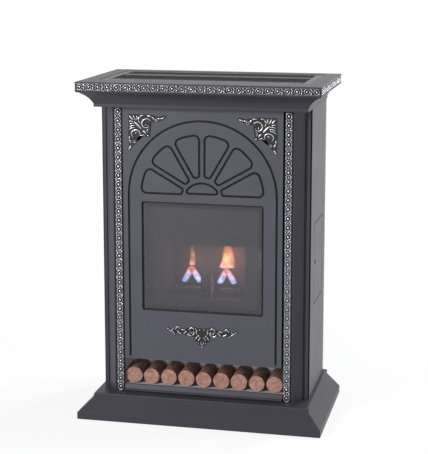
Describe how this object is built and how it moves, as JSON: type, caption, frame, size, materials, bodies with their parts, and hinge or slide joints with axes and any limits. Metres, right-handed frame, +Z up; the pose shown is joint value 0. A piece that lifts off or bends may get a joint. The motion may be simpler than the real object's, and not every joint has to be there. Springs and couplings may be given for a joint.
{
  "type": "gas fireplace heater",
  "caption": "Free-standing gas fireplace heater with a mantel, arched front, glass window over live flames, log niche and rear flue collar.",
  "frame": {"origin": "on the floor, centre of the footprint with the flue collar counted in", "axes": "+Z up, front faces -Y, +X to the right of a viewer who faces the front, flue leaves along +Y"},
  "size_m": [0.652, 0.411, 0.9],
  "materials": {
    "casing_paint": "satin charcoal heat-resistant paint",
    "dark_paint": "matt black heat-resistant paint",
    "silver_trim": "antiqued silver plate with dark patina in the recesses",
    "window_glass": "dark tinted ceramic glass, polished",
    "seal_fibre": "woven glass fibre",
    "firebox_steel": "heat-darkened steel",
    "galvanised": "galvanised sheet",
    "aluminised": "aluminised duct steel",
    "stainless": "stainless steel",
    "brass": "turned brass",
    "copper_pipe": "drawn copper tube",
    "valve_casting": "die-cast aluminium",
    "knob_plastic": "moulded black plastic",
    "button_plastic": "moulded red plastic",
    "electrode_ceramic": "glazed insulator",
    "lead_rubber": "silicone insulation",
    "log_wood": "painted ceramic-fibre log with sawn end",
    "fixing_steel": "zinc plated"
  },
  "bodies": {
    "casing": {"base_plinth": "casing_paint", "floor_pan": "galvanised", "right_side_panel": "casing_paint", "left_side_panel": "casing_paint", "rear_panel": "galvanised", "rear_panel_screws": "fixing_steel", "heat_shield": "aluminised", "right_pilaster": "casing_paint", "left_pilaster": "casing_paint", "right_column_trim": "silver_trim", "left_column_trim": "silver_trim", "front_cover": "casing_paint", "right_corner_scroll": "silver_trim", "left_corner_scroll": "silver_trim", "garland_ornament": "silver_trim", "glass_pane": "window_glass", "glass_seal": "seal_fibre", "window_frame": "dark_paint", "firebox_front": "firebox_steel", "combustion_chamber": "firebox_steel", "flue_duct": "aluminised", "flue_collar": "aluminised", "right_chassis_rail": "galvanised", "left_chassis_rail": "galvanised", "burner_manifold": "stainless", "burner_venturi": "stainless", "gas_injector": "brass", "pilot_burner": "stainless", "thermocouple": "copper_pipe", "ignition_electrode": "electrode_ceramic", "igniter_lead": "lead_rubber", "pilot_tube": "copper_pipe", "burner_supply_pipe": "copper_pipe", "inlet_pipe": "copper_pipe", "gas_inlet_union": "brass", "gas_valve": "valve_casting", "control_pan": "dark_paint", "piezo_igniter": "knob_plastic", "door_catch": "knob_plastic", "log_tray": "casing_paint", "mantel_cove": "casing_paint", "mantel_slab": "casing_paint", "mantel_front_trim": "silver_trim", "mantel_side_trims": "silver_trim", "top_grille": "dark_paint", "log_1": "log_wood", "log_2": "log_wood", "log_3": "log_wood", "log_4": "log_wood", "log_5": "log_wood", "log_6": "log_wood", "log_7": "log_wood", "log_8": "log_wood", "log_9": "log_wood"},
    "door": {"side_access_door": "casing_paint", "door_hinge_pins": "fixing_steel"},
    "knob": {"control_knob": "knob_plastic", "knob_spindle": "brass"},
    "igniter_button": {"piezo_button": "button_plastic"}
  },
  "joints": [
    {"name": "door_hinge", "type": "hinge", "parent": "casing", "child": "door", "pos_m": [0.276, 0.0935, 0.4155], "axis": [0, 0, 1], "range_deg": [0, 105]},
    {"name": "knob_turn", "type": "hinge", "parent": "casing", "child": "knob", "pos_m": [0.25, 0.03, 0.445], "axis": [1, 0, 0], "range_deg": [0, 210]},
    {"name": "igniter_press", "type": "slide", "parent": "casing", "child": "igniter_button", "axis": [-1, 0, 0], "range_m": [0, 0.005], "stiffness_N_per_m": 400}
  ]
}
